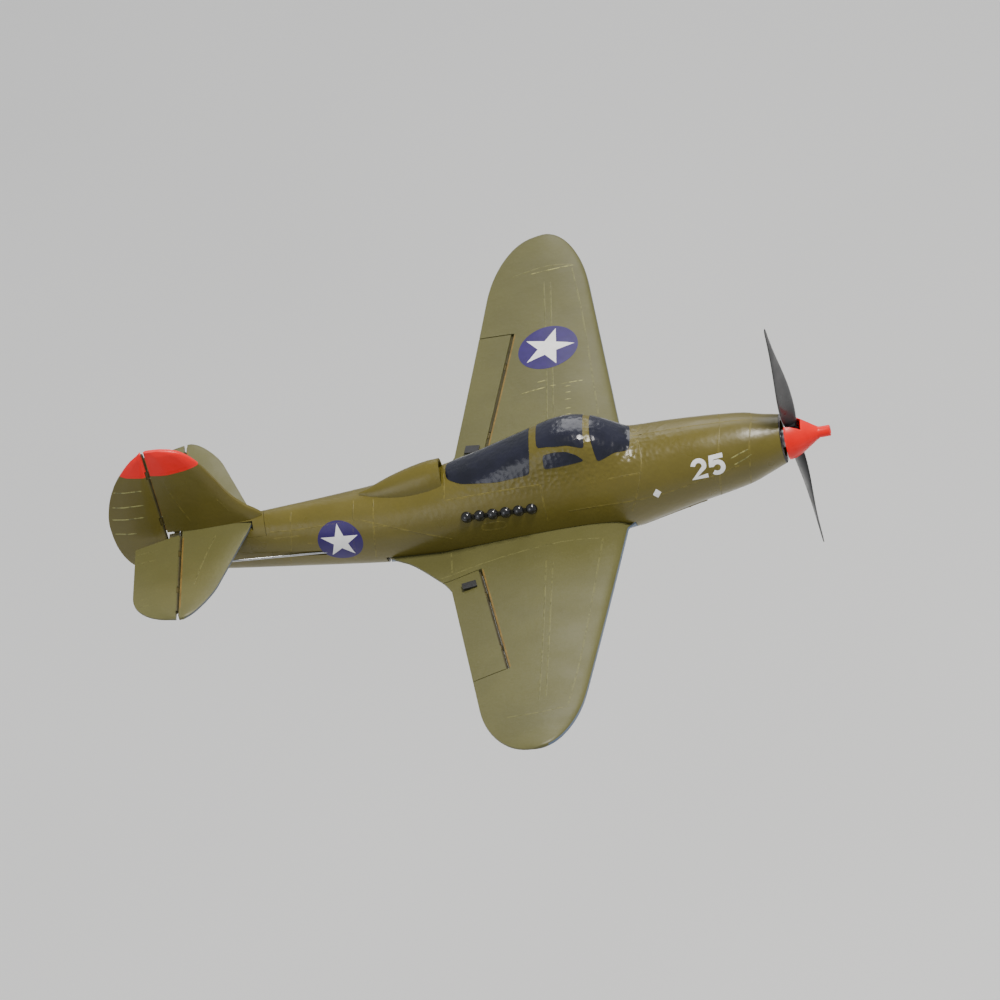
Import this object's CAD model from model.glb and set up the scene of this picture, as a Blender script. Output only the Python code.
# Looks for the small foam fighter aeroplane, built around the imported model.
import math
import bmesh
import bpy
from mathutils import Vector, Matrix
from mathutils.bvhtree import BVHTree


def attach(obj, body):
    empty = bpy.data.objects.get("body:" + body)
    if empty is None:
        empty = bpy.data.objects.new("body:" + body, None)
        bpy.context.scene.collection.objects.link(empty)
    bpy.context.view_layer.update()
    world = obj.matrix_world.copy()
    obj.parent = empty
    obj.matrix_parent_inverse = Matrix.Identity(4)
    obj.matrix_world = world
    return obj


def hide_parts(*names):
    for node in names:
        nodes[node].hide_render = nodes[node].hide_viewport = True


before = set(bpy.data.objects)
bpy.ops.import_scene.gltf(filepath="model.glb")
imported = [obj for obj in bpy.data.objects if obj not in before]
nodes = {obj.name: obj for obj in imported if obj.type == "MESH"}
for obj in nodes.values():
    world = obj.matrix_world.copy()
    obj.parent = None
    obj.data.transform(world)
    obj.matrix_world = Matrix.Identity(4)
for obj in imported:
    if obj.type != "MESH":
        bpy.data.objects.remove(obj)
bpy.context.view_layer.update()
MM = 0.001


# ---- Outline of the airframe, in millimetres, the same curves as the CAD ----

STATIONS = [
    (127, 20.1, 43.9, 11.9, 2), (118, 16.4, 45.3, 14.4, 2), (110, 13.4, 47.2, 16.9, 2),
    (98, 10.8, 48.2, 18.7, 2.05), (82, 8.2, 48.9, 20.4, 2.1), (66, 4.8, 49, 22, 2.15),
    (50, 1.4, 48.4, 23.2, 2.2), (26, -0.7, 47.8, 23.5, 2.25), (0, -0.8, 47.1, 22.8, 2.25),
    (-26, -0.5, 46, 21.4, 2.2), (-50, 0.7, 44.4, 19.4, 2.1), (-75, 2.8, 42.4, 16.9, 2.05),
    (-100, 5.6, 41.5, 13.8, 2), (-125, 8.8, 40.9, 10.6, 2), (-150, 12.2, 40.3, 7.4, 2),
    (-176, 16.2, 39.7, 3, 2)]
CANOPY = [(60, 0), (54, 1.4), (49, 5), (43, 9.2), (36, 12.8), (28, 14.6), (19, 14.4), (7, 11.6),
          (-9, 7.6), (-22, 4.4), (-35, 2.2), (-48, 0.6), (-58, 0)]
SCOOP = [(-38.5, 8.6, 54.2), (-45, 8.8, 53.7), (-55, 8.2, 51.4), (-65, 6.6, 48.3), (-74, 4, 45),
         (-80, 1.2, 43.2)]
FILLET = [(0, -73), (15.7, -70.2), (22.9, -61), (28.8, -55.7), (34.6, -51.2), (39.3, -47.7),
          (45.2, -43.4), (52, -39.9)]
FIN = [(33.8, -128), (40.5, -128.4), (44, -131), (48.5, -136), (56, -141.4), (66, -145.9), (76, -150.8),
       (81, -154), (85, -157.8), (87.8, -162.5), (89.2, -168), (89.5, -173)]
RUDDER = [(16.6, -181), (18.5, -188.5), (22, -194.6), (27, -198.6), (35, -201.4), (44, -202.4),
          (52, -202.1), (60, -200.2), (67, -197.4), (74, -193.4), (80, -188.6), (85, -183.6),
          (88, -179.4), (89, -178.3)]
WALL, GAP = 3, 0.25
NOSE_X, TAIL_X = 127, -175.9
SEAT_Z, SADDLE_X = 33.6, -127.8
THRUST_Z, PROP_X, SPINNER_X = 32, 132.3, 128.7
HINGE_GAP, NOSE_R = 1.6, 1.1
RUDDER_BACK = -202.4


def sin(a):
    return math.sin(math.radians(a))


def cos(a):
    return math.cos(math.radians(a))


def curve(t, x, k):
    n = len(t)
    up = 1 if t[1][0] > t[0][0] else -1
    i = 0
    while i < n - 2 and (t[i + 1][0] - x) * up <= 0:
        i += 1

    def slope(j):
        p, q = t[min(n - 1, j + 1)], t[max(0, j - 1)]
        return (p[k] - q[k]) / (p[0] - q[0])

    a, b = t[i], t[i + 1]
    d = b[0] - a[0]
    u = max(0.0, min(1.0, (x - a[0]) / d))
    v = 1 - u
    return (a[k] * (1 + 2 * u) * v * v + b[k] * (3 - 2 * u) * u * u
            + d * u * v * (slope(i) * v - slope(i + 1) * u))


def station(x):
    lo, hi = curve(STATIONS, x, 1), curve(STATIONS, x, 2)
    rise = max(0.0, curve(CANOPY, x, 1)) if CANOPY[-1][0] <= x <= CANOPY[0][0] else 0.0
    return (lo + hi) / 2, (hi - lo) / 2, curve(STATIONS, x, 3), curve(STATIONS, x, 4), rise


def skin(x, a, off=0.0, st=None):
    """Point of the fuselage's skin at an angle a from the top, on the port side."""
    mid, h, w, n, rise = st or station(x)
    s, c = sin(a), cos(a)
    r = (abs(s / w) ** n + abs(c / h) ** n) ** (-1 / n) + rise / (1 + (min(a, 360 - a) / 29) ** 4) + off
    return (x, r * s, mid + r * c)


def foil(t):
    u = max(0.0, min(1.0, t))
    return (0.2969 * math.sqrt(u) - 0.126 * u - 0.3516 * u * u + 0.2843 * u ** 3 - 0.1036 * u ** 4) / 0.1


def tip_round(y):
    return 1 if y <= 158 else max(0.07, max(0.0, 1 - ((y - 158) / 42) ** 2.3) ** (1 / 2.3))


def wing_z(y):
    d = max(0, y - 24)
    return 12.4 + 0.07 * d + 0.00015 * d * d


def wing_t(y):
    return (9 - 0.026 * max(0, y - 24)) * tip_round(y) ** 0.7


def line_le(y):
    return 46.6 - 0.128 * max(0, y - 24)


def line_te(y):
    return -41 + 0.161 * (max(y, 24) - 45)


def wing_le(y):
    if y < 20:
        return 50
    if y < 24:
        return 50 - 3.4 * (y - 20) / 4
    return 6 + (line_le(y) - 6) * tip_round(y)


def wing_te(y):
    return curve(FILLET, y, 1) if y < 52 else 6 + (line_te(y) - 6) * tip_round(y)


def chord_part(x, y):
    e = tip_round(y)
    le, te = 6 + (line_le(y) - 6) * e, 6 + (line_te(y) - 6) * e
    return (le - x) / (le - te)


def edge_half(y):
    return 0.5 * tip_round(y) ** 0.3


def wing_top(x, y):
    return wing_z(y) + edge_half(y) + 0.62 * wing_t(y) * foil(chord_part(x, y))


def wing_bottom(x, y):
    mid, h, w, n, _ = station(x)
    belly = 99 if y >= w else mid - h * (1 - (y / w) ** n) ** (1 / n)
    return min(wing_z(y) - edge_half(y) - 0.38 * wing_t(y) * foil(chord_part(x, y)), belly)


def foil_mid(x, y):
    return (wing_top(x, y) + wing_bottom(x, y)) / 2


# ---- Mesh tools ----

def make(name, verts, faces, smooth=35):
    """An object from points in millimetres."""
    me = bpy.data.meshes.new(name)
    me.from_pydata([(v[0] * MM, v[1] * MM, v[2] * MM) for v in verts], [], faces)
    me.validate()
    me.update()
    ob = bpy.data.objects.new(name, me)
    bpy.context.scene.collection.objects.link(ob)
    soften(ob, smooth)
    return ob


def soften(ob, angle=35):
    ob.data.shade_smooth()
    ob.data.set_sharp_from_angle(angle=math.radians(angle))


def loft(name, rings, smooth=35):
    """Closed solid through rings with the same number of points."""
    n, m = len(rings), len(rings[0])
    verts = [p for ring in rings for p in ring]
    faces = [[m - 1 - j for j in range(m)], [(n - 1) * m + j for j in range(m)]]
    for i in range(n - 1):
        for j in range(m):
            a, b = i * m + j, i * m + (j + 1) % m
            faces.append([a, b, b + m, a + m])
    ob = make(name, verts, faces, smooth)
    face_out(ob)
    return ob


def face_out(ob):
    """Turns a closed solid's faces outward."""
    if sum(p.center.dot(p.normal) * p.area for p in ob.data.polygons) < 0:
        ob.data.flip_normals()


def tree_of(ob):
    return BVHTree.FromObject(ob, bpy.context.evaluated_depsgraph_get())


def block(lo, hi, at=None):
    """A cutter: the box from lo to hi, in millimetres, moved by the matrix at."""
    v = [Vector((x, y, z)) for x in (lo[0], hi[0]) for y in (lo[1], hi[1]) for z in (lo[2], hi[2])]
    if at is not None:
        v = [at @ p for p in v]
    f = [(0, 1, 3, 2), (4, 6, 7, 5), (0, 4, 5, 1), (2, 3, 7, 6), (0, 2, 6, 4), (1, 5, 7, 3)]
    ob = make("cutter", v, f)
    if at is not None and at.to_3x3().determinant() < 0:
        ob.data.flip_normals()
    return ob


def prism(points, y0, y1):
    """A cutter: an outline in X and Z, run from y0 to y1."""
    return loft("cutter", [[(x, y0, z) for x, z in points], [(x, y1, z) for x, z in points]])


def rod(p, q, r, sides=24):
    """A cutter or a bar: round, from p to q, in millimetres."""
    p, q = Vector(p), Vector(q)
    t = (q - p).normalized()
    e = t.orthogonal().normalized()
    f = t.cross(e)
    ring = [[c + (e * cos(i * 360 / sides) + f * sin(i * 360 / sides)) * r for i in range(sides)]
            for c in (p, q)]
    return loft("cutter", ring)


def combine(ob, *others, op="DIFFERENCE", smooth=35):
    """Cuts, joins or intersects ob with each of the others, which are used up."""
    for other in others:
        m = ob.modifiers.new("b", "BOOLEAN")
        m.operation, m.object, m.solver = op, other, "EXACT"
        dg = bpy.context.evaluated_depsgraph_get()
        me = bpy.data.meshes.new_from_object(ob.evaluated_get(dg))
        ob.modifiers.clear()
        old, ob.data = ob.data, me
        bpy.data.meshes.remove(old)
        dead = other.data
        bpy.data.objects.remove(other)
        bpy.data.meshes.remove(dead)
    soften(ob, smooth)
    return ob


MIRROR = Matrix.Scale(-1, 4, (0, 1, 0))


def to_starboard(ob, name):
    """Swaps ob for its mirror image, which takes the name."""
    me = ob.data.copy()
    me.transform(MIRROR)
    me.flip_normals()
    twin = bpy.data.objects.new("twin", me)
    bpy.context.scene.collection.objects.link(twin)
    soften(twin)
    bpy.data.objects.remove(ob)
    twin.name = name
    return twin


def bevel(ob, width):
    b = ob.modifiers.new("bevel", "BEVEL")
    b.width, b.segments, b.limit_method, b.angle_limit = width, 2, "ANGLE", math.radians(50)


def paint(ob, mat):
    ob.data.materials.clear()
    ob.data.materials.append(mat)
    return ob


def place(ob, body, mat, node=None):
    paint(ob, mat)
    if node:
        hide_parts(*([node] if isinstance(node, str) else node))
    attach(ob, body)
    return ob


# ---- Materials ----

class Shader:
    """A small helper for building a node material."""

    def __init__(self, name, rough=0.5, metal=0.0, coat=0.0, spec=0.5, sheen=0.0):
        self.m = bpy.data.materials.new(name)
        self.m.use_nodes = True
        self.t = self.m.node_tree
        self.b = self.t.nodes["Principled BSDF"]
        self.b.inputs["Roughness"].default_value = rough
        self.b.inputs["Metallic"].default_value = metal
        self.b.inputs["Coat Weight"].default_value = coat
        self.b.inputs["Coat Roughness"].default_value = 0.15
        self.b.inputs["Specular IOR Level"].default_value = spec
        self.b.inputs["Sheen Weight"].default_value = sheen
        self.coord = self.t.nodes.new("ShaderNodeTexCoord")
        self.height = None

    def link(self, a, b):
        self.t.links.new(a, b)

    def sep(self):
        n = self.t.nodes.new("ShaderNodeSeparateXYZ")
        self.link(self.coord.outputs["Object"], n.inputs[0])
        return n.outputs

    def noise(self, scale, detail=3, rough=0.55, stretch=None):
        n = self.t.nodes.new("ShaderNodeTexNoise")
        n.inputs["Scale"].default_value = scale
        n.inputs["Detail"].default_value = detail
        n.inputs["Roughness"].default_value = rough
        src = self.coord.outputs["Object"]
        if stretch:
            mp = self.t.nodes.new("ShaderNodeMapping")
            mp.inputs["Scale"].default_value = stretch
            self.link(src, mp.inputs[0])
            src = mp.outputs[0]
        self.link(src, n.inputs["Vector"])
        return n.outputs["Fac"]

    def beads(self, scale):
        n = self.t.nodes.new("ShaderNodeTexVoronoi")
        n.feature = "SMOOTH_F1"
        n.inputs["Scale"].default_value = scale
        n.inputs["Smoothness"].default_value = 0.35
        n.inputs["Randomness"].default_value = 0.8
        self.link(self.coord.outputs["Object"], n.inputs["Vector"])
        return n.outputs["Distance"]

    def fit(self, x, a, b, lo=0.0, hi=1.0):
        n = self.t.nodes.new("ShaderNodeMapRange")
        n.interpolation_type = "SMOOTHSTEP"
        n.inputs["From Min"].default_value = a
        n.inputs["From Max"].default_value = b
        n.inputs["To Min"].default_value = lo
        n.inputs["To Max"].default_value = hi
        self.link(x, n.inputs["Value"])
        return n.outputs[0]

    def math(self, op, a, b=None):
        n = self.t.nodes.new("ShaderNodeMath")
        n.operation = op
        for i, v in enumerate((a, b)):
            if v is None:
                continue
            if isinstance(v, (int, float)):
                n.inputs[i].default_value = v
            else:
                self.link(v, n.inputs[i])
        return n.outputs[0]

    def mix(self, fac, a, b):
        n = self.t.nodes.new("ShaderNodeMix")
        n.data_type = "RGBA"
        for sock, v in ((n.inputs["Factor"], fac), (n.inputs[6], a), (n.inputs[7], b)):
            if isinstance(v, (int, float)):
                sock.default_value = v
            elif isinstance(v, tuple):
                sock.default_value = (*v, 1)
            else:
                self.link(v, sock)
        return n.outputs[2]

    def color(self, c):
        self.link(c, self.b.inputs["Base Color"])
        return self

    def rough(self, r):
        self.link(r, self.b.inputs["Roughness"])
        return self

    def bump(self, h, strength=0.5, dist=0.0002):
        n = self.t.nodes.new("ShaderNodeBump")
        n.inputs["Strength"].default_value = strength
        n.inputs["Distance"].default_value = dist
        self.link(h, n.inputs["Height"])
        if self.height is not None:
            self.link(self.height, n.inputs["Normal"])
        self.height = n.outputs[0]
        self.link(self.height, self.b.inputs["Normal"])
        return self


def shade(c, k):
    return tuple(min(1.0, v * k) for v in c)


def foam(name, base, rough=0.42, bead=0.25, zone=0.0, red=False, under=None, slope=-0.15):
    """Painted bead foam. zone adds stronger beads around the canopy.

    under is the colour of the parts that face down by more than slope, the height of their normal."""
    s = Shader(name, rough=rough, spec=0.5)
    x, _, z = s.sep()[:3]
    col = s.mix(s.fit(s.noise(24, 4), 0.35, 0.65), shade(base, 0.93), shade(base, 1.08))
    fine = s.noise(900, 2)
    col = s.mix(s.fit(fine, 0.3, 0.7, 0, 0.25), col, shade(base, 0.8))
    if red:
        arch = s.math("POWER", s.math("ADD", x, 0.170), 2.0)
        edge = s.math("ADD", s.math("MULTIPLY", arch, 7.5), 0.0749)
        wob = s.math("MULTIPLY", s.math("SUBTRACT", s.noise(300, 2), 0.5), 0.0004)
        above = s.math("SUBTRACT", s.math("ADD", z, wob), edge)
        tip = s.mix(s.fit(s.noise(40, 3), 0.35, 0.65), (0.88, 0.001, 0.001), (0.96, 0.002, 0.001))
        col = s.mix(s.fit(above, -0.00008, 0.00008), col, tip)
    if under:
        way = s.t.nodes.new("ShaderNodeSeparateXYZ")
        s.link(s.coord.outputs["Normal"], way.inputs[0])
        on_tail = s.math("MULTIPLY", s.math("LESS_THAN", x, -0.12), s.math("GREATER_THAN", x, -0.167))
        edge_x = s.math("ADD", s.math("GREATER_THAN", x, 0.012), on_tail)
        ahead = s.math("MULTIPLY", s.fit(way.outputs[2], 0.44, 0.36), s.fit(way.outputs[0], 0.3, 0.5))
        lip = s.math("MULTIPLY", ahead, edge_x)
        below = s.fit(way.outputs[2], slope + 0.05, slope - 0.05)
        if not zone:
            below = s.math("MAXIMUM", lip, below)
        belly = s.mix(s.fit(s.noise(30, 3), 0.35, 0.65), shade(under, 0.92), shade(under, 1.08))
        col = s.mix(below, col, belly)
    dimple = s.fit(s.beads(400), 0.05, 0.85)
    if zone:
        col = s.mix(s.fit(x, 0.1266, 0.1268), col, (0.010, 0.010, 0.010))
        front = s.math("MULTIPLY", s.fit(x, -0.05, -0.02), s.fit(x, 0.085, 0.05))
        near = s.math("MULTIPLY", front, s.fit(z, 0.036, 0.046))
        amount = s.math("ADD", s.math("MULTIPLY", near, zone), bead)
        dimple = s.math("MULTIPLY", dimple, amount)
    else:
        dimple = s.math("MULTIPLY", dimple, bead)
    s.color(col)
    s.rough(s.fit(s.noise(60, 3), 0.3, 0.7, rough - 0.05, rough + 0.07))
    s.bump(s.noise(120, 3), 0.25, 0.0006)
    s.bump(dimple, 0.42, 0.0005)
    s.bump(fine, 0.12, 0.0001)
    return s.m


def groove_paint(name, base, light=1.5, dark=0.5):
    """Paint on an engraved line: dark in the middle, worn light along its lips. Uses the strip's UV."""
    s = Shader(name, rough=0.45)
    uv = s.t.nodes.new("ShaderNodeSeparateXYZ")
    s.link(s.coord.outputs["UV"], uv.inputs[0])
    off = s.math("ABSOLUTE", s.math("SUBTRACT", uv.outputs[1], 0.5))
    lip = s.math("MULTIPLY", s.fit(off, 0.08, 0.2), s.fit(off, 0.5, 0.3))
    worn = s.math("MULTIPLY", lip, s.fit(s.noise(350, 3), 0.35, 0.6))
    col = s.mix(s.fit(off, 0.0, 0.14), shade(base, dark), base)
    s.color(s.mix(worn, col, shade(base, light)))
    s.bump(s.noise(700, 2), 0.15, 0.0001)
    return s.m


def plastic(name, base, rough=0.4, vary=0.12, scale=500, bump=0.12, coat=0.0, metal=0.0, spec=0.5,
            stretch=None):
    s = Shader(name, rough=rough, coat=coat, metal=metal, spec=spec)
    n = s.noise(scale, 3, stretch=stretch)
    s.color(s.mix(s.fit(n, 0.3, 0.7), shade(base, 1 - vary), shade(base, 1 + vary)))
    s.rough(s.fit(s.noise(scale / 6, 3, stretch=stretch), 0.3, 0.7, max(0.02, rough - 0.08), rough + 0.08))
    s.bump(n, bump, 0.0001)
    return s.m


OLIVE = (0.132, 0.108, 0.017)
WING = (0.116, 0.111, 0.036)
BELLY = (0.105, 0.145, 0.215)
m_body = foam("olive_foam", OLIVE, 0.32, 0.16, zone=0.75, under=BELLY, slope=-0.84)
m_wing = foam("wing_foam", WING, 0.44, 0.12, under=BELLY)
m_plane = foam("tailplane_foam", shade(WING, 1.12), 0.44, 0.12, under=(0.095, 0.110, 0.130))
m_tail = foam("tail_foam", OLIVE, 0.40, 0.14, red=True)
m_line = groove_paint("olive_groove", OLIVE, 1.8, 0.42)
m_wline = groove_paint("wing_groove", WING, 1.9, 0.55)
m_bright = groove_paint("worn_groove", WING, 4.6, 1.6)
m_tan = plastic("hinge_groove_tan", (0.19, 0.115, 0.022), 0.6, 0.25, 300, 0.3)
m_shade = plastic("hinge_groove_dark", (0.048, 0.040, 0.012), 0.75, 0.25, 300, 0.3)
m_white = plastic("decal_white", (0.92, 0.92, 0.90), 0.4, 0.05, 260, 0.1)
m_navy = plastic("decal_navy", (0.026, 0.010, 0.120), 0.38, 0.12, 260, 0.1)
m_nylon = plastic("black_nylon", (0.018, 0.018, 0.02), 0.45, 0.2, 900, 0.15)
m_hinge = plastic("olive_nylon", (0.075, 0.058, 0.012), 0.5, 0.15, 900, 0.15)
m_steel = plastic("steel_wire", (0.56, 0.57, 0.58), 0.26, 0.1, 1400, 0.08, metal=1.0, stretch=(0.1, 1, 1))
m_screw = plastic("screw_steel", (0.42, 0.43, 0.45), 0.34, 0.15, 900, 0.1, metal=1.0)
m_alu = plastic("turned_metal", (0.60, 0.61, 0.63), 0.3, 0.12, 1200, 0.1, metal=1.0, stretch=(8, 1, 1))
m_dark = plastic("motor_laminations", (0.10, 0.10, 0.11), 0.4, 0.3, 2500, 0.3, metal=0.8, stretch=(6, 1, 1))
m_red = plastic("spinner_red", (0.90, 0.001, 0.001), 0.34, 0.04, 200, 0.06, coat=0.08, spec=0.3)
m_prop = plastic("propeller_black", (0.016, 0.016, 0.018), 0.34, 0.2, 500, 0.12)
m_black = plastic("exhaust_gloss", (0.010, 0.010, 0.011), 0.14, 0.2, 300, 0.05, coat=0.6)
m_magnet = plastic("nickel_magnet", (0.7, 0.7, 0.72), 0.15, 0.05, 600, 0.04, metal=1.0)


def glass_paint():
    """Dark gloss paint over bead foam."""
    s = Shader("canopy_glazing", rough=0.22, coat=0.25, spec=0.5)
    tone = s.mix(s.fit(s.noise(45, 3), 0.35, 0.65), (0.006, 0.007, 0.014), (0.012, 0.013, 0.028))
    s.color(tone)
    s.rough(s.fit(s.noise(120, 3), 0.3, 0.7, 0.16, 0.30))
    s.bump(s.noise(160, 3), 0.3, 0.0006)
    s.bump(s.fit(s.beads(400), 0.05, 0.85), 0.26, 0.0005)
    return s.m


def wood():
    s = Shader("light_plywood", rough=0.6)
    n = s.noise(90, 5, 0.6, stretch=(1, 14, 14))
    s.color(s.mix(s.fit(n, 0.3, 0.7), (0.42, 0.27, 0.13), (0.62, 0.45, 0.26)))
    s.bump(n, 0.25, 0.0003)
    return s.m


def servo_case():
    s = Shader("servo_blue_clear", rough=0.22, coat=0.3)
    s.b.inputs["Transmission Weight"].default_value = 0.35
    n = s.noise(140, 3)
    s.color(s.mix(s.fit(n, 0.3, 0.7), (0.02, 0.06, 0.24), (0.04, 0.10, 0.36)))
    s.bump(n, 0.1, 0.0003)
    return s.m


def carbon():
    s = Shader("carbon_rod", rough=0.3, coat=0.3)
    n = s.noise(700, 3, stretch=(1, 0.04, 1))
    s.color(s.mix(s.fit(n, 0.3, 0.7), (0.006, 0.006, 0.007), (0.035, 0.035, 0.038)))
    s.bump(n, 0.3, 0.0001)
    return s.m


def strap():
    s = Shader("hook_and_loop", rough=0.95, sheen=0.5)
    n = s.noise(1800, 2)
    s.color(s.mix(s.fit(n, 0.35, 0.65), (0.006, 0.006, 0.007), (0.045, 0.045, 0.048)))
    s.bump(n, 0.8, 0.0005)
    return s.m


def board():
    s = Shader("solder_mask", rough=0.35)
    x, y, _ = s.sep()[:3]
    along = s.math("ADD", x, s.math("MULTIPLY", y, 0.5))
    tr = s.math("GREATER_THAN", s.math("SINE", s.math("MULTIPLY", along, 3200)), 0.55)
    base = s.mix(s.fit(s.noise(200, 3), 0.4, 0.6), (0.010, 0.07, 0.035), (0.016, 0.10, 0.05))
    s.color(s.mix(tr, base, (0.03, 0.16, 0.08)))
    s.bump(tr, 0.2, 0.0001)
    return s.m


def wrap_film():
    s = Shader("battery_wrap", rough=0.28, coat=0.3)
    n = s.noise(60, 4, stretch=(0.4, 1, 1))
    s.color(s.mix(s.fit(n, 0.35, 0.65), (0.02, 0.07, 0.28), (0.03, 0.10, 0.38)))
    s.bump(n, 0.4, 0.0008)
    return s.m


m_glass = glass_paint()
m_wood = wood()
m_servo = servo_case()
m_carbon = carbon()
m_strap = strap()
m_board = board()
m_wrap = wrap_film()

# ---- Fuselage ----


def steps(a, b, d):
    n = max(1, round(abs(b - a) / d))
    return [a + (b - a) * i / n for i in range(n + 1)]


BODY_X = (steps(NOSE_X, 64, 2.1)[:-1] + steps(64, 28, 1.2)[:-1] + steps(28, -60, 2.2)[:-1]
          + steps(-60, TAIL_X, 2.9))


def half_solid(name):
    """The port half of the fuselage, closed on the centre line."""
    rings = []
    for x in BODY_X:
        st = station(x)
        ring = [skin(x, a, 0.0, st) for a in range(0, 181, 4)]
        ring[0] = (x, 0, ring[0][2])
        ring[-1] = (x, 0, ring[-1][2])
        rings.append(ring)
    return loft(name, rings)


def full_solid(off=0.0, x_hi=NOSE_X, x_lo=TAIL_X, da=4, xs=None, name="full"):
    rings = []
    for x in (xs or BODY_X):
        if xs or x_lo - 0.01 <= x <= x_hi + 0.01:
            st = station(min(x, NOSE_X))
            rings.append([(x,) + skin(min(x, NOSE_X), a, off, st)[1:] for a in range(0, 360, da)])
    return loft(name, rings)


def scoop_solid(inset=0.0, length=42):
    rings = []
    for x in steps(-38.5, -80, 1.2):
        if -38.5 - x <= length:
            base = curve(STATIONS, x, 2) - 3.4 + inset * 2
            w, top = curve(SCOOP, x, 1) - inset, curve(SCOOP, x, 2) - inset
            rings.append([(x, 0, base)] + [(x, w * sin(a), base + (top - base) * cos(a))
                                           for a in range(90, -1, -6)])
    return loft("scoop", rings)


def turn(axis, angle):
    return Matrix.Rotation(math.radians(angle), 4, axis)


def rod_channel(rod_ends, x0, x1, w, h):
    a, b = rod_ends
    d = [a[i] - b[i] for i in range(3)]
    at = (Matrix.Translation(a) @ turn("Z", math.degrees(math.atan(d[1] / d[0])))
          @ turn("Y", math.degrees(math.atan(-d[2] / d[0]))))
    return block((x0 - a[0], w[0], h[0]), (x1 - a[0], w[1], h[1]), at)


RUDDER_ROD = ((-30, 16, 16.3), (-177.5, 10, 26.0))
ELEVATOR_ROD = ((-62, 10.3, 21), (-170, 10.9, 28.1))


def fuselage(port):
    ob = half_solid("foam_fuselage_" + ("left" if port else "right"))
    combine(ob, scoop_solid(), op="UNION")
    hollow = full_solid(-WALL, da=8, xs=[NOSE_X + 1] + [x for x in BODY_X[::2] if x >= -138] + [-138])
    xs = [50 + GAP + (-73 - 50 - 2 * GAP) * i / 40 for i in range(41)]
    saddle = prism([(xs[0], -6)] + [(x, wing_top(x, 24) + GAP) for x in xs] + [(xs[-1], -6)], -30, 30)
    cutters = [hollow, scoop_solid(1.7, 5), saddle,
               block((TAIL_X - 1, -1, SEAT_Z), (SADDLE_X, 29, SEAT_Z + 20)),
               block((49.4, -1, -5), (85.35, 10.95, 15))]
    if port:
        cutters.append(rod_channel(ELEVATOR_ROD, -133, -90, (-1.2, 1.4), (-1.2, 2)))
    else:
        cutters.append(rod_channel(RUDDER_ROD, -128, -40, (-2.2, 1.2), (-1.4, 1.4)))
    combine(ob, *cutters)
    return ob if port else to_starboard(ob, "foam_fuselage_right")


body_left = fuselage(True)
body_right = fuselage(False)
place(body_left, "airframe", m_body, "fuselage_left")
place(body_right, "airframe", m_body, "fuselage_right")

# ---- Wing and ailerons ----

A_ = Vector((-26.6, 40.8, foil_mid(-26.6, 40.8)))
B_ = Vector((-10, 131, foil_mid(-10, 131)))
HY = (B_ - A_).normalized()
HX = HY.cross(Vector((0, 0, 1))).normalized()
HZ = HX.cross(HY)
HINGE = Matrix(((HX[0], HY[0], HZ[0], A_[0]), (HX[1], HY[1], HZ[1], A_[1]), (HX[2], HY[2], HZ[2], A_[2]),
                (0, 0, 0, 1)))
ALEN = (B_ - A_).length
# Hinge knuckles: where they stand along each hinge, half a slot's length, its radius, and the web's gap.
AIL_KNUCKLES, EL_KNUCKLES, RU_KNUCKLES = (22, 70), (18, 46), (47, 76)
SLOT_HALF, SLOT_R, WEB_GAP = 2.4, 1.3, 3
SERVO_X, SERVO_S = 33, 11.4 - 1.3 - 0.6
WING_Y = (steps(0, 60, 2)[:-1] + steps(60, 152, 4)[:-1] + steps(152, 190, 2)[:-1]
          + steps(190, 199, 1)[:-1] + [199, 199.5, 200])
CHORD = [(1 - cos(i * 180 / 27)) / 2 for i in range(28)]


def wing_ring(y):
    ya = abs(y)
    le, te = wing_le(ya), wing_te(ya)
    xs = [le + (te - le) * u for u in CHORD]
    return [(x, y, wing_bottom(x, ya)) for x in xs] + [(x, y, wing_top(x, ya)) for x in reversed(xs)]


def wing_solid(lo, hi, name):
    ys = sorted(set([-y for y in WING_Y] + WING_Y))
    return loft(name, [wing_ring(y) for y in ys if lo <= y <= hi])


wing = wing_solid(-200, 200, "foam_wing")
cuts = [block((-90, -20, -10), (70, 20, 0))]
for at in (HINGE, MIRROR @ HINGE):
    cuts += [block((-40, 0, -15), (HINGE_GAP, ALEN, 15), at),
             block((SERVO_X - 3.8, SERVO_S - 13.3, -14), (SERVO_X + 12.8, SERVO_S + 4.1, 3), at),
             block((SERVO_X - 6, SERVO_S, -14), (SERVO_X + 2, SERVO_S + 4.1, 3), at),
             block((SERVO_X - 6.2, SERVO_S - 4.7, -14), (SERVO_X + 15.2, SERVO_S - 3.1, 3), at)]
combine(wing, *cuts)
place(wing, "airframe", m_wing, "wing")
wing_tree = tree_of(wing)


def aileron(port):
    ob = wing_solid(36, 142, "foam_aileron_" + ("left" if port else "right"))
    combine(ob, block((-40, 0.6, -10), (0, ALEN - 0.6, 10), HINGE), op="INTERSECT")
    combine(ob, rod(HINGE @ Vector((0, 0.6, 0)), HINGE @ Vector((0, ALEN - 0.6, 0)), NOSE_R), op="UNION")
    combine(ob, *[rod(HINGE @ Vector((0, y - SLOT_HALF, 0)), HINGE @ Vector((0, y + SLOT_HALF, 0)), SLOT_R)
                  for y in AIL_KNUCKLES])
    return ob if port else to_starboard(ob, "foam_aileron_right")


ail_l, ail_r = aileron(True), aileron(False)
place(ail_l, "aileron_left_body", m_wing, "aileron_left")
place(ail_r, "aileron_right_body", m_wing, "aileron_right")

# ---- Tail ----

EL_X, EL_Z, RU_X = -170, 38.1, -177.5


def thick(u, t):
    """Half thickness of a flat tail surface, round at the front and fine at the back."""
    if u <= 0:
        return t * 0.18
    return t * min(0.5, 0.18 + 0.32 * min(1.0, u / 0.14) ** 0.6, 0.15 + 1.1 * (1 - u))


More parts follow.
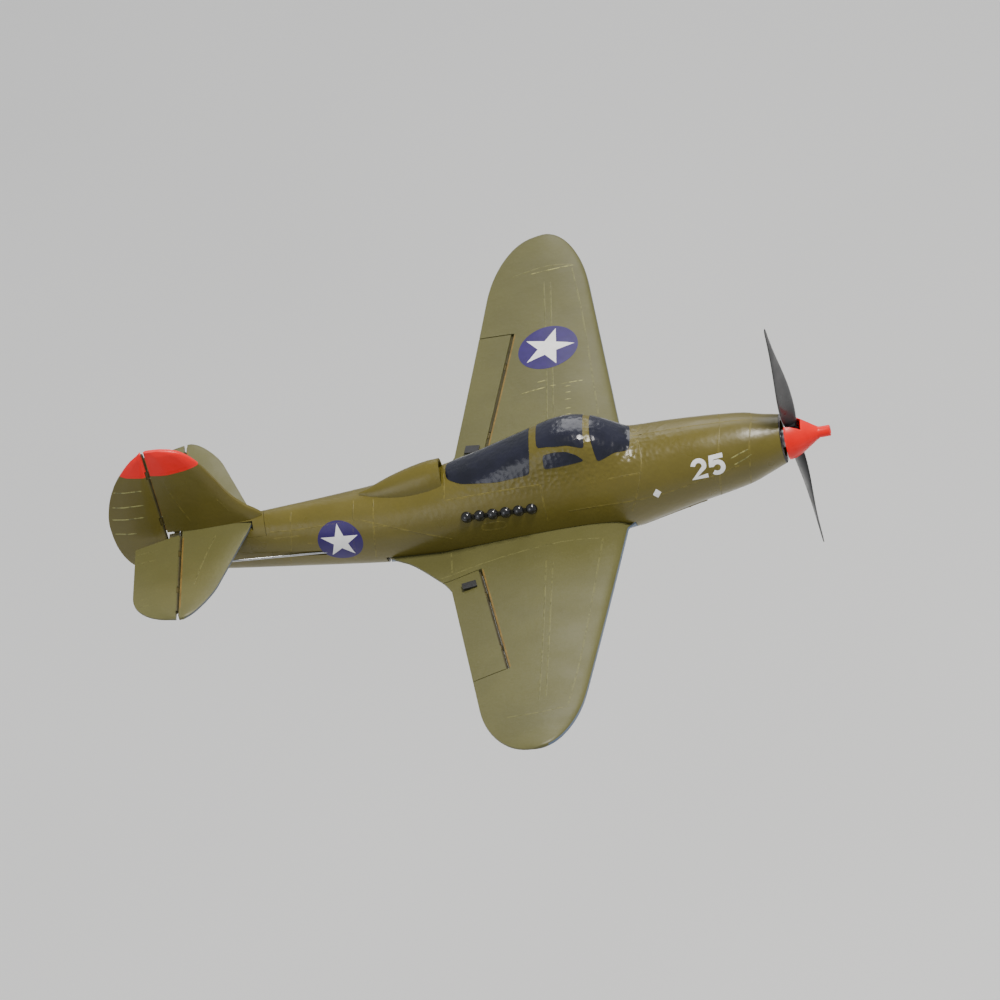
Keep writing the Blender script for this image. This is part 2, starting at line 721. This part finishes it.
PART = [0, 0.006, 0.02, 0.045, 0.08, 0.14, 0.25, 0.4, 0.55, 0.66, 0.72, 0.8, 0.88, 0.94, 0.98, 1]


def flat_rings(rows):
    """rows are distance along, front, rear and thickness; drawn flat along Y."""
    return [[(f + (r - f) * u, y, -thick(u, t)) for u in PART]
            + [(f + (r - f) * u, y, thick(u, t)) for u in reversed(PART)] for y, f, r, t in rows]


def upright(name, rows):
    """A flat surface stood on edge: rows as for flat_rings, with distance along Z."""
    return loft(name, [[(x, -t, z) for x, z, t in ring] for ring in flat_rings(rows)])


def tail_e(y):
    return 1 if y < 46 else max(0.1, math.sqrt(max(0, 1 - ((y - 46) / 21.5) ** 2)))


def tail_row(y):
    e = tail_e(abs(y))
    return (y, -167 + (32.5 - 0.365 * max(0, abs(y) - 5)) * e, -167 - 24.9 * e, 3.2 * e ** 0.35)


TAIL_Y = steps(0, 44, 4)[:-1] + steps(44, 62, 1.5)[:-1] + steps(62, 67, 0.7)[:-1] + [67, 67.3, 67.5]


def tail_solid(name):
    ys = sorted(set([-y for y in TAIL_Y] + TAIL_Y))
    rings = flat_rings([tail_row(y) for y in ys])
    return loft(name, [[(x, y, z + EL_Z) for x, y, z in ring] for ring in rings])


tailplane = tail_solid("foam_tailplane")
combine(tailplane, block((-200, -80, 0), (EL_X + HINGE_GAP, 80, 60)))
place(tailplane, "airframe", m_plane, "tailplane")


def elevator(port):
    ob = tail_solid("foam_elevator_" + ("left" if port else "right"))
    out = [(EL_X, 4.4), (EL_X, 70), (-195, 70), (-195, 9.6)]
    box = loft("cutter", [[(x, y, 20) for x, y in out], [(x, y, 60) for x, y in out]])
    combine(ob, box, op="INTERSECT")
    combine(ob, rod((EL_X, 4.4, EL_Z), (EL_X, 62, EL_Z), NOSE_R), op="UNION")
    combine(ob, *[rod((EL_X, y - SLOT_HALF, EL_Z), (EL_X, y + SLOT_HALF, EL_Z), SLOT_R) for y in EL_KNUCKLES])
    return ob if port else to_starboard(ob, "foam_elevator_right")


elevators = {}
for side in (True, False):
    name = "left" if side else "right"
    elevators[name] = place(elevator(side), "elevator_body", m_plane, "elevator_" + name)


def finer(table, n=4):
    """A table with extra rows on its smooth curve."""
    rows = []
    for a, b in zip(table, table[1:]):
        rows += [(a[0] + (b[0] - a[0]) * i / n,) for i in range(n)]
    rows.append((table[-1][0],))
    return [(r[0], curve(table, r[0], 1)) for r in rows]


def fin_t(z):
    return 4 * (0.5 if z > 89 else 1.25 - 0.4 * (z - 33) / 56 - (0.12 * max(0, z - 86.5)))


fin = upright("foam_fin", [(z, x, TAIL_X, fin_t(z)) for z, x in finer(FIN)])
tail_cone = full_solid(0.0, -100, TAIL_X, 6)
combine(tail_cone, block((TAIL_X, -20, SEAT_Z + 0.1), (SADDLE_X - 0.2, 20, SEAT_Z + 20)), op="INTERSECT")
combine(fin, tail_cone, op="UNION")
combine(fin, block((-180, -30, EL_Z - 1.7), (-133.8, 30, EL_Z + 1.7)),
        rod((EL_X, -20, EL_Z), (EL_X, 20, EL_Z), 1.4))
place(fin, "airframe", m_tail, "tail_fin")

rudder = upright("foam_rudder", [(z, RU_X, max(x, RUDDER_BACK), fin_t(z)) for z, x in finer(RUDDER)])
combine(rudder, rod((RU_X, 0, 16.6), (RU_X, 0, 88), NOSE_R), op="UNION")
combine(rudder, *[rod((RU_X, 0, z - SLOT_HALF), (RU_X, 0, z + SLOT_HALF), SLOT_R) for z in RU_KNUCKLES])
place(rudder, "rudder_body", m_tail, "rudder")

# Thin foam webs close the hinge grooves, a hair clear of the round noses, with gaps at the knuckles.

WEB_X, WEB_T = (NOSE_R + 0.06, HINGE_GAP + 0.1), 0.45


def spans(lo, hi, knuckles):
    """The stretches from lo to hi that leave a gap at each knuckle."""
    out = []
    for c in knuckles:
        out.append((lo, c - WEB_GAP))
        lo = c + WEB_GAP
    return out + [(lo, hi)]


def web(name, boxes):
    ob = boxes[0] if len(boxes) == 1 else combine(boxes[0], *boxes[1:], op="UNION")
    ob.name = name
    return place(ob, "airframe", m_tan)


for side in (1, -1):
    tag = "left" if side > 0 else "right"
    at = HINGE if side > 0 else MIRROR @ HINGE
    web("aileron_web_" + tag, [block((WEB_X[0], a, -WEB_T), (WEB_X[1], b, WEB_T), at)
                               for a, b in spans(0.8, ALEN - 0.8, AIL_KNUCKLES)])
    web("elevator_web_" + tag, [block((EL_X + WEB_X[0], min(side * a, side * b), EL_Z - WEB_T),
                                      (EL_X + WEB_X[1], max(side * a, side * b), EL_Z + WEB_T))
                                for a, b in spans(5, 65.5, EL_KNUCKLES)])
web("rudder_web", [block((RU_X + WEB_X[0], -WEB_T, a), (RU_X + WEB_X[1], WEB_T, b))
                   for a, b in spans(41, 86, RU_KNUCKLES)])

# ---- Propeller and spinner ----


def blade_ring(r, k=1.0):
    u = r / 70
    c = (3.2 + 10.8 * sin(180 * min(1, u) ** 0.8) ** 1.8) * k
    t = (2.4 - 1.7 * u) * k
    a = 90 - math.degrees(math.atan(75 / (2 * math.pi * r)))
    pts = []
    for i in range(0, 360, 15):
        p, q = c / 2 * cos(i), t / 2 * sin(i) * (1 + 0.15 * cos(i))
        pts.append((q * sin(a) + p * cos(a), p * sin(a) - q * cos(a), r))
    return pts


tilt = Matrix.Translation((PROP_X, 0, THRUST_Z)) @ turn("X", 4)
prop = None
for s in (0, 180):
    rows = [blade_ring(r) for r in steps(6.5, 66, 2.5)]
    rows += [blade_ring(66 + 4 * sin(a), max(0.25, cos(a) ** 0.5)) for a in (20, 40, 58, 72, 84, 89)]
    blade = loft("blade", [[tilt @ turn("X", s) @ Vector(p) for p in ring] for ring in rows], 60)
    prop = blade if prop is None else combine(prop, blade, op="UNION", smooth=60)
prop.name = "two_blade_propeller"
hub_a, hub_b = tilt @ Vector((-2.5, 0, 0)), tilt @ Vector((2.5, 0, 0))
combine(prop, rod(hub_a, hub_b, 4.6, 48), block((-2, -2.25, -8.5), (2, 2.25, 8.5), tilt), op="UNION")
combine(prop, rod(tilt @ Vector((-6, 0, 0)), tilt @ Vector((6, 0, 0)), 2, 32))
place(prop, "propeller_assembly", m_prop, "propeller")
bevel(prop, 0.00015)

PROFILE = [(4.6, 0), (10.7, 0), (10.7, 1.2), (10.55, 1.6), (10.2, 3.2), (9.1, 5.6), (7.6, 8.2), (5.8, 11),
           (4.2, 13.4), (3.2, 15), (2.85, 15.6), (2.7, 16.2), (2.7, 21), (2.4, 21.3), (1.5, 21.3), (1.5, 17),
           (2.6, 14.2), (4.8, 10.6), (6.6, 7.8), (8.2, 5), (9.3, 2.8), (9.5, 1), (4.6, 1)]
rings = [[(SPINNER_X + x, r * cos(a), THRUST_Z + r * sin(a)) for r, x in PROFILE] for a in range(0, 360, 5)]
n, m = len(rings), len(rings[0])
faces = [[i * m + j, i * m + (j + 1) % m, ((i + 1) % n) * m + (j + 1) % m, ((i + 1) % n) * m + j]
         for i in range(n) for j in range(m)]
spinner = make("red_spinner", [p for ring in rings for p in ring], faces, 30)
face_out(spinner)
combine(spinner, block((-4.3, -3.7, -15), (4.3, 3.7, 15), tilt), smooth=30)
place(spinner, "propeller_assembly", m_red, "spinner")

# ---- Carried-over CAD parts ----


def four(kind):
    """The nodes of one kind at the four control linkages."""
    return ["aileron_%s_left" % kind, "aileron_%s_right" % kind, "elevator_" + kind, "rudder_" + kind]


CASES = four("servo")
LEVERS = four("arm") + four("horn")
TRAYS = ["servo_tray", "motor_mount", "battery_tray"]
BOARDS = ["speed_controller", "receiver"]
LOOK = [
    (m_carbon, ["wing_spars"]), (m_servo, CASES), (m_nylon, LEVERS), (m_wood, TRAYS), (m_board, BOARDS),
    (m_steel, four("pushrod") + ["elevator_joiner", "aileron_pin_left", "aileron_pin_right", "rudder_pin"]),
    (m_hinge, ["aileron_hinges_left", "aileron_hinges_right", "elevator_hinges", "rudder_hinges"]),
    (m_screw, ["arm_screw_" + at for at in ("aileron_left", "aileron_right", "elevator", "rudder")]
     + ["mount_screws"]),
    (m_dark, ["motor_stator"]), (m_alu, ["motor_bell", "prop_adapter"]), (m_wrap, ["battery"]),
    (m_strap, ["battery_strap"]), (m_body, ["battery_hatch"]), (m_magnet, ["hatch_magnets"]),
    (m_black, ["exhaust_stacks_left", "exhaust_stacks_right"])]
EDGED = CASES + LEVERS + TRAYS + BOARDS + ["battery", "battery_strap"]
WELD_M, EDGE_M = 2e-6, 0.00018


for mat, names in LOOK:
    for name in names:
        ob = paint(nodes[name], mat)
        if name != "battery_hatch":
            ob.modifiers.new("weld", "WELD").merge_threshold = WELD_M
        if name in EDGED:
            bevel(ob, EDGE_M)

# ---- Lines, glazing and markings on the skin ----

body_tree = {True: tree_of(body_left), False: tree_of(body_right)}


def spline(pts, step=1.0):
    """Points along a smooth curve through pts, about step apart."""
    pts = [Vector(p) for p in pts]
    if len(pts) == 2:
        n = max(1, round((pts[1] - pts[0]).length / step))
        return [pts[0].lerp(pts[1], i / n) for i in range(n + 1)]
    out = []
    ext = [2 * pts[0] - pts[1]] + pts + [2 * pts[-1] - pts[-2]]
    for i in range(1, len(ext) - 2):
        p0, p1, p2, p3 = ext[i - 1:i + 3]
        n = max(1, round((p2 - p1).length / step))
        for k in range(n):
            t = k / n
            out.append(0.5 * (2 * p1 + (p2 - p0) * t + (2 * p0 - 5 * p1 + 4 * p2 - p3) * t * t
                              + (3 * p1 - p0 - 3 * p2 + p3) * t ** 3))
    out.append(pts[-1])
    return out


def strips(name, paths, hit, width, lip):
    """Engraved lines: each a shallow channel between two low lips, laid on the skin."""
    verts, faces, uvs = [], [], []
    prof = [(-1.0, -0.04), (-0.55, lip), (0.0, 0.012), (0.55, lip), (1.0, -0.04)]
    for path in paths:
        row = []
        for h in [hit(p) for p in path] + [None]:
            if h is not None:
                row.append(h)
                continue
            if len(row) > 1:
                add_strip(verts, faces, uvs, row, prof, width)
            row = []
    me = bpy.data.meshes.new(name)
    me.from_pydata([tuple(v * MM) for v in verts], [], faces)
    uv = me.uv_layers.new(name="UVMap")
    for poly in me.polygons:
        for li in poly.loop_indices:
            uv.data[li].uv = uvs[me.loops[li].vertex_index]
    ob = bpy.data.objects.new(name, me)
    bpy.context.scene.collection.objects.link(ob)
    me.shade_smooth()
    return ob


def add_strip(verts, faces, uvs, row, prof, width):
    n, m, base = len(row), len(prof), len(verts)
    run = 0.0
    for i, (p, nor) in enumerate(row):
        t = (row[min(n - 1, i + 1)][0] - row[max(0, i - 1)][0]).normalized()
        side = nor.cross(t).normalized()
        end = 0.15 if i in (0, n - 1) else 1.0
        if i:
            run += (p - row[i - 1][0]).length
        for s, h in prof:
            verts.append(p + side * s * width * end + nor * (h if end == 1.0 else min(h, 0.0)))
            uvs.append((run, (s + 1) / 2))
    for i in range(n - 1):
        for j in range(m - 1):
            a = base + i * m + j
            faces.append((a, a + m, a + m + 1, a + 1))


def engrave(name, paths, hit, mat, width, lip, body="airframe"):
    place(strips(name, paths, hit, width, lip), body, mat)


def onto_body(p):
    """Nearest point of the fuselage's outer skin, in millimetres, with its normal."""
    port = p[1] >= 0
    loc, nor, _, d = body_tree[port].find_nearest(Vector(p) * MM)
    if loc is None or d > 0.004:
        return None
    loc = loc / MM
    mid = station(min(loc[0], NOSE_X))[0]
    out = Vector((0, loc[1], loc[2] - mid))
    if nor.dot(out) < 0:
        return None
    return loc, nor


def onto_top(tree):
    """Onto the top of a wing or a tail surface, from above."""
    def hit(p):
        loc, nor, _, _ = tree.ray_cast(Vector((p[0], p[1], 60)) * MM, Vector((0, 0, -1)))
        return None if loc is None or abs(nor[2]) < 0.35 else (loc / MM, nor)
    return hit


def both(paths):
    """Each path and its mirror image."""
    return paths + [[Vector((p[0], -p[1], p[2])) for p in path] for path in paths]


def around(x, a0, a1, lean=0.0):
    """A line round the starboard side of the fuselage at x, from angle a0 to a1."""
    out = []
    for a in steps(a0, a1, 3):
        xx = x + lean * (a - a0) / 90
        q = skin(xx, a)
        out.append(Vector((q[0], -q[1], q[2])))
    return out


BODY_LINES = [
    around(99.3, 2, 176, lean=-4.2), around(114.3, 2, 176, lean=-4.2),
    spline([(56, -2, 49.2), (58.6, -3.6, 48.7), (59.6, -10.5, 46.6), (59.3, -15.9, 42.9), (57.6, -20.2, 37.3),
            (53.8, -22.8, 29), (50.1, -22.9, 21.2)]),
    spline([(42.1, -19.5, 40.5), (50.4, -18.8, 40.3), (58.7, -18.4, 40)]),
    spline([(20, -23.3, 28.4), (36, -23.4, 28.4), (61.7, -22.3, 27.5), (85.6, -20, 30.4),
            (105.9, -17.1, 33.6)]),
    spline([(-38.3, -14.1, 40.3), (-20.2, -15.7, 41.7), (-5.2, -17, 42.6), (9.7, -18.1, 43.2)]),
    spline([(9.8, -18, 43.5), (9.6, -21.2, 36.1), (9.4, -23.2, 24)]),
    spline([(-37, -1, 46.8), (-37.3, -8.1, 45.3), (-38.2, -13.8, 40.6)]),
    around(-73, 12, 128, lean=-4), around(-83, 8, 134, lean=-4), around(-114.2, 6, 140, lean=-4),
    spline([(-80.9, -11.9, 35.9), (-62.4, -17, 30.3), (-37.8, -20.4, 21.4)]),
    spline([(-126.5, -8, 35), (-111, -9.6, 34.7), (-81.4, -11.6, 36.2)]),
    spline([(-125.2, -9.5, 31.7), (-111.7, -10.9, 31.8)]),
    spline([(-109.2, -12.3, 27.6), (-104.8, -12.9, 27.1)]),
    spline([(-75.7, -14.6, 32.5), (-68.8, -15.5, 32.4)]),
    spline([(-22, -21.2, 28), (-22, -21.6, 24.5), (-12, -22.2, 24.5), (-12, -22, 28), (-22, -21.2, 28)]),
]
engrave("fuselage_panel_lines", both(BODY_LINES), onto_body, m_line, 0.42, 0.07)

SLITS = [spline([(101.9, -16.4, 37.7), (106.5, -15.2, 38.8), (111.4, -13.6, 39.6)]),
         spline([(103.1, -17.4, 34.5), (107.8, -16.3, 35.7), (112.5, -14.7, 37.1)])]
engrave("nose_slits", both(SLITS), onto_body, m_bright, 0.34, 0.07)

# Lines moulded in the wing and the tail.


def flat_line(*pts):
    return spline([(x, y, 0) for x, y in pts])


FRONT_LINE = flat_line((35.2, -35.2), (30.7, -85.8), (26, -134.9), (21.1, -171.5))
WING_LINES = [FRONT_LINE, flat_line((7.6, -46.5), (7.6, -113.4), (7, -163.7)),
              flat_line((11, -47.7), (10.6, -114.4), (10.4, -162.3)),
              flat_line((-9.5, -171.8), (7.8, -173.9), (22.1, -172.4)),
              flat_line((-46, -40.1), (-30.9, -37.3), (-13.2, -35.1), (14.2, -33.7), (33.8, -35)),
              flat_line((-40.9, -20.5), (-39.9, -38.2))]
engrave("wing_panel_lines", both(WING_LINES), onto_top(wing_tree), m_wline, 0.4, 0.06)
RIB_MARKS = [flat_line((0.1, 170.6), (11.9, 170.9), (22.9, 172)), flat_line((2.7, 90.8), (7.3, 91.2)),
             flat_line((-5.5, 85.2), (7.2, 86.1)), flat_line((8.8, 86.6), (12.3, 86.1)),
             flat_line((14.3, 86.2), (25.8, 86.6))]
RIB_MARKS += [flat_line((16.6, y), (19.8, y)) for y in (83.9, 79.4, 74.3, 67.7, 63.3)]
engrave("wing_rib_marks", RIB_MARKS, onto_top(wing_tree), m_bright, 0.34, 0.07)


def onto_side(tree, sign):
    """Onto an upright surface, seen from one side."""
    def hit(p):
        loc, nor, _, _ = tree.ray_cast(Vector((p[0], 30 * sign, p[2])) * MM, Vector((0, -sign, 0)))
        return None if loc is None or abs(nor[1]) < 0.5 else (loc / MM, nor)
    return hit


RUDDER_RIBS = [spline([(a, 0, z), (b, 0, z - 0.9)]) for a, b, z in
               ((-195.9, -181.5, 69), (-198.5, -182.7, 60.4), (-200.3, -184, 53.2), (-201, -190, 44.5))]
FIN_LINES = [spline([(-163, 0, 45), (-168.5, 0, 62), (-170, 0, 72)]),
             spline([(-143.5, 0, 47), (-148, 0, 56)])]
for sign in (1, -1):
    tag = "left" if sign > 0 else "right"
    engrave("rudder_ribs_" + tag, RUDDER_RIBS, onto_side(tree_of(rudder), sign), m_bright, 0.36, 0.07,
            "rudder_body")
    engrave("fin_lines_" + tag, FIN_LINES, onto_side(tree_of(fin), sign), m_line, 0.36, 0.05)
tail_tree = tree_of(tailplane)
SPAR_LINE = [flat_line((-151.7, -9), (-156.6, -24.9), (-161.8, -45.9))]
engrave("tailplane_lines", both(SPAR_LINE), onto_top(tail_tree), m_wline, 0.4, 0.06)
for side in ("left", "right"):
    sign = 1 if side == "left" else -1
    ribs = [flat_line((a, sign * y), (b, sign * y)) for a, b, y in
            ((-191.5, -180, 13), (-192, -181, 20), (-190.5, -184, 49), (-189, -181.5, 54))]
    engrave("elevator_ribs_" + side, ribs, onto_top(tree_of(elevators[side])), m_wline, 0.34, 0.06,
            "elevator_body")

# Each groove is dark inside: the round nose of the moving surface is painted apart from the rest.
NOSE_FROM = 0.15


def dark_nose(ob, ahead):
    """Gives m_shade to the faces that lie ahead of the hinge axis."""
    ob.data.materials.append(m_shade)
    for face in ob.data.polygons:
        if ahead(face.center / MM) > NOSE_FROM:
            face.material_index = 1


INTO_HINGE = HINGE.inverted()
dark_nose(ail_l, lambda c: (INTO_HINGE @ c)[0])
dark_nose(ail_r, lambda c: (INTO_HINGE @ Vector((c[0], -c[1], c[2])))[0])
dark_nose(rudder, lambda c: c[0] - RU_X)
for half in elevators.values():
    dark_nose(half, lambda c: c[0] - EL_X)

# Bare tan foam shows along the front lip of each hinge groove.
LIP_X, LIP_W = HINGE_GAP + 0.5, 0.48
ail_lip = [HINGE @ Vector((LIP_X, s, 0)) for s in steps(0.5, ALEN - 0.5, 2)]
engrave("aileron_groove_lips", both([ail_lip]), onto_top(wing_tree), m_tan, LIP_W, 0.03)
tail_lip = [Vector((EL_X + LIP_X, y, 0)) for y in steps(6, 62, 2)]
engrave("elevator_groove_lips", both([tail_lip]), onto_top(tail_tree), m_tan, LIP_W, 0.03)

# The seam along the top, where the two halves meet.
seam = [Vector((x, -0.02, skin(x, 0)[2])) for x in steps(-30, 118, 1.2)]
engrave("top_seam", [seam], onto_body, m_line, 0.3, 0.09)

# Glazing: the skin, a little raised, inside outlines seen from the side.


def rounded(points, r=1.6, n=5):
    """An outline with its corners rounded."""
    out = []
    for i, p in enumerate(points):
        p = Vector(p)
        a, b = Vector(points[i - 1]), Vector(points[(i + 1) % len(points)])
        ra = min(r, (a - p).length * 0.45)
        rb = min(r, (b - p).length * 0.45)
        s, e = p + (a - p).normalized() * ra, p + (b - p).normalized() * rb
        for k in range(n + 1):
            t = k / n
            out.append(tuple(s * (1 - t) ** 2 + p * 2 * t * (1 - t) + e * t * t))
    return out


def canopy_shell(name):
    shell = full_solid(0.22, 62, -44, 3, name=name)
    return combine(shell, full_solid(-0.9, 66, -48, 6))


WINDOWS = {
    "windshield": [(36.9, 64), (39.2, 49.0), (47.5, 50.2), (54.6, 48.0), (56, 52), (46, 64)],
    "mid_glazing": [(11.2, 66), (11.2, 58.6), (16.5, 59.2), (26, 59.2), (34.3, 56.4), (34.6, 66)],
    "door_window": [(13.6, 56.0), (13.2, 50.0), (33.2, 51.0), (29.5, 54.6), (25.3, 56.6), (19.5, 57.0)],
    "rear_glazing": [(-36.5, 47.2), (-28.5, 46), (-10.5, 46.2), (5.6, 48.3), (7.4, 57.5), (7.6, 66),
                     (-36, 66)],
}
for name, outline in WINDOWS.items():
    pane = canopy_shell("glazing_" + name)
    combine(pane, prism(rounded(outline), -30, 30), op="INTERSECT")
    place(pane, "airframe", m_glass)

# Markings wrapped on the fuselage: u runs along X, v runs down the skin from an angle a0.


class Wrap:
    """Markings on the fuselage's skin."""

    def __init__(self, x0, a0, port):
        self.x0, self.a0, self.sign = x0, a0, 1 if port else -1

    def __call__(self, u, v, off):
        x = self.x0 + u
        st = station(x)
        a, s = self.a0, 0.0
        d = 1.0 if v > 0 else -1.0
        p = skin(x, a, off, st)
        while True:
            q = skin(x, a + d, off, st)
            seg = math.hypot(q[1] - p[1], q[2] - p[2])
            if s + seg >= abs(v) or seg < 1e-6:
                k = (abs(v) - s) / max(seg, 1e-6)
                r = [p[i] + (q[i] - p[i]) * k for i in range(3)]
                return (r[0], r[1] * self.sign, r[2])
            s, a, p = s + seg, a + d, q


def wing_patch(u, v, off):
    """Markings on the top of the port wing."""
    x, y = WING_MARK[0] + u, WING_MARK[1] + v
    return (x, y, wing_top(x, y) + off)


WING_MARK = (8.5, 114.6)
DECAL_STEP, DECAL_ROOT = 1.3, -0.05


def decal(name, where, outlines, mat, off, spin=0.0, flip_u=False):
    """Thin sheets on the skin: each outline is a list of (u, v), filled in steps small enough to bend.

    Each sheet stands off above the skin and its rim runs down to just under it."""
    bm = bmesh.new()
    for pts in outlines:
        vs = [bm.verts.new((p[0], p[1], 0)) for p in pts]
        bm.faces.new(vs)
    bmesh.ops.triangulate(bm, faces=bm.faces[:])
    for _ in range(6):
        longest = [e for e in bm.edges if e.calc_length() > DECAL_STEP]
        if not longest:
            break
        bmesh.ops.subdivide_edges(bm, edges=longest, cuts=1)
        bmesh.ops.triangulate(bm, faces=[f for f in bm.faces if len(f.verts) > 3])
    top, ring = {}, {}
    verts, faces = [], []
    c, s = cos(spin), sin(spin)

    def put(v, height):
        u, w = (-v.co.x if flip_u else v.co.x), v.co.y
        verts.append(where(u * c - w * s, u * s + w * c, height))
        return len(verts) - 1

    for v in bm.verts:
        top[v] = put(v, off)
    for f in bm.faces:
        faces.append([top[v] for v in f.verts])
    for e in bm.edges:
        if len(e.link_faces) == 1:
            for v in e.verts:
                if v not in ring:
                    ring[v] = put(v, DECAL_ROOT)
            a, b = e.verts
            faces.append([top[a], top[b], ring[b], ring[a]])
    bm.free()
    ob = make(name, verts, faces, 40)
    b2 = bmesh.new()
    b2.from_mesh(ob.data)
    bmesh.ops.recalc_face_normals(b2, faces=b2.faces[:])
    b2.to_mesh(ob.data)
    b2.free()
    me = ob.data
    centre = Vector(where(0, 0, 0)) * MM
    outer = Vector(where(0, 0, 1)) * MM - centre
    if sum(p.normal.dot(outer) * p.area for p in me.polygons) < 0:
        me.flip_normals()
    soften(ob, 40)
    return place(ob, "airframe", mat)


def disc(r):
    return [(r * cos(7.5 * i), r * sin(7.5 * i)) for i in range(48)]


def star(r):
    return [((r if i % 2 == 0 else r * 0.382) * sin(36 * i), -(r if i % 2 == 0 else r * 0.382) * cos(36 * i))
            for i in range(10)]


def stroke(path, w):
    """Outline of a bold line of width w along a path, with its corners mitred."""
    pts = [Vector(p) for p in path]
    left, right = [], []
    for i, p in enumerate(pts):
        a = (p - pts[i - 1]).normalized() if i else (pts[1] - p).normalized()
        b = (pts[i + 1] - p).normalized() if i < len(pts) - 1 else a
        t = (a + b).normalized()
        reach = w / 2 / max(0.72, t.dot(a))
        nrm = Vector((-t.y, t.x)) * reach
        left.append(tuple(p + nrm))
        right.append(tuple(p - nrm))
    return left + right[::-1]


def arc(cx, cy, r, a0, a1, n=14):
    turns = [a0 + (a1 - a0) * i / n for i in range(n + 1)]
    return [(cx + r * cos(a), cy + r * sin(a)) for a in turns]


TWO = arc(0, -1.6, 2.7, 190, 385) + [(-2.9, 4.1), (3.7, 4.1)]
FIVE = [(3.4, -4.2), (-2.3, -4.2), (-2.7, -0.7)] + arc(0, 1.25, 2.8, 222, 500)


def moved(pts, du):
    return [(u + du, v) for u, v in pts]


for port in (True, False):
    tag = "left" if port else "right"
    at = Wrap(-92.7, 76, port)
    decal("roundel_disc_" + tag, at, [disc(11)], m_navy, 0.06, flip_u=port)
    decal("roundel_star_" + tag, at, [star(9.6)], m_white, 0.11, flip_u=port)

    digits = [moved(stroke(TWO, 2.2), -4.4), moved(stroke(FIVE, 2.2), 4.4)]
    decal("side_number_" + tag, Wrap(90.8, 68, port), digits, m_white, 0.08,
          flip_u=port)
    decal("side_diamond_" + tag, Wrap(64.2, 84, port), [[(0, -2.6), (2.1, 0), (0, 2.6), (-2.1, 0)]],
          m_white, 0.08)

decal("wing_roundel_disc", wing_patch, [disc(15.1)], m_navy, 0.06)
decal("wing_roundel_star", wing_patch, [star(13.4)], m_white, 0.11, spin=90)

# ---- Floor, light and camera ----

floor = make("floor", [(-6000, -6000, -700), (6000, -6000, -700), (6000, 9000, -700), (-6000, 9000, -700)],
             [(0, 1, 2, 3)])
fl = Shader("studio_floor", rough=0.9, spec=0.1)
fl.color(fl.mix(fl.fit(fl.noise(2, 2), 0.3, 0.7), (0.86, 0.86, 0.85), (0.90, 0.90, 0.89)))
paint(floor, fl.m)


LIGHT_AIM = Vector((0, 0, 0.03))


def light(name, loc, size, power, color=(1, 1, 1)):
    data = bpy.data.lights.new(name, "AREA")
    data.energy, data.size, data.color = power, size, color
    ob = bpy.data.objects.new(name, data)
    ob.location = loc
    ob.rotation_euler = (LIGHT_AIM - Vector(loc)).to_track_quat("-Z", "Y").to_euler()
    bpy.context.scene.collection.objects.link(ob)


light("key", (0.75, -0.15, 1.9), 0.45, 46, (1.0, 0.96, 0.90))
light("fill", (-1.6, -1.9, 1.0), 1.6, 15, (0.95, 0.97, 1.0))
light("rim", (0.2, 1.6, 1.3), 1.2, 12)
world = bpy.data.worlds.new("studio")
bpy.context.scene.world = world
world.use_nodes = True
sky = world.node_tree.nodes["Background"].inputs
sky["Color"].default_value = (0.92, 0.95, 1.0, 1)
sky["Strength"].default_value = 0.42

cam_data = bpy.data.cameras.new("camera")
cam_data.lens, cam_data.sensor_width, cam_data.sensor_fit = 412.3, 36, "HORIZONTAL"
cam_data.clip_start, cam_data.clip_end = 0.1, 40
cam = bpy.data.objects.new("camera", cam_data)
cam.matrix_world = Matrix(((0.97513, 0.16818, 0.14435, 0.7837), (0.00966, 0.61841, -0.78579, -4.3449),
                           (-0.22142, 0.76765, 0.60141, 3.3497), (0, 0, 0, 1)))
bpy.context.scene.collection.objects.link(cam)
bpy.context.scene.camera = cam
